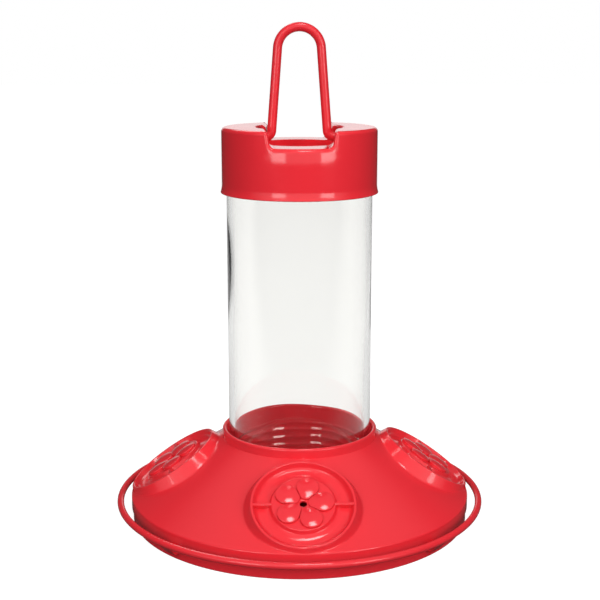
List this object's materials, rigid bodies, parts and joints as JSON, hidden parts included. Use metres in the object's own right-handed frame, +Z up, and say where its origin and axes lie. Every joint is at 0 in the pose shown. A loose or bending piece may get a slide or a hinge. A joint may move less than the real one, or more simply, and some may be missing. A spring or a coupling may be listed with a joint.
{
  "type": "hummingbird feeder",
  "caption": "Upturned glass jar in a round red nectar base with raised flower ports, a perch ring, and a cap with a folding wire hanger.",
  "frame": {"origin": "centre of the base's underside, on the surface it stands on", "axes": "+Z up along the jar's axis; +X along the hanger's pivot; -Y towards the front flower port"},
  "size_m": [0.1838, 0.1838, 0.2434],
  "materials": {
    "red_plastic": "moulded, satin gloss",
    "hanger_red": "smooth coating on wire",
    "clear_glass": "clear, slightly uneven",
    "soft_seal": "matt"
  },
  "bodies": {
    "base": {"basin": "red_plastic"},
    "cover": {"cover": "red_plastic"},
    "seal": {"jar_seal": "soft_seal"},
    "jar": {"jar": "clear_glass", "cap": "red_plastic"},
    "hanger": {"hanger": "hanger_red"}
  },
  "joints": [
    {"name": "cover_lift", "type": "slide", "parent": "base", "child": "cover", "axis": [0, 0, 1], "range_m": [0, 0.03]},
    {"name": "jar_turn", "type": "hinge", "parent": "cover", "child": "seal", "pos_m": [0, 0, 0.017], "axis": [0, 0, 1], "range_deg": [0, 1080]},
    {"name": "jar_rise", "type": "slide", "parent": "seal", "child": "jar", "axis": [0, 0, 1], "range_m": [0, 0.0123]},
    {"name": "hanger_swing", "type": "hinge", "parent": "jar", "child": "hanger", "pos_m": [0, 0, 0.1896], "axis": [1, 0, 0], "range_deg": [-90, 90]}
  ],
  "couplings": [
    {"joint": "jar_rise", "follows": "jar_turn", "m_per_rad": 0.0006525}
  ]
}
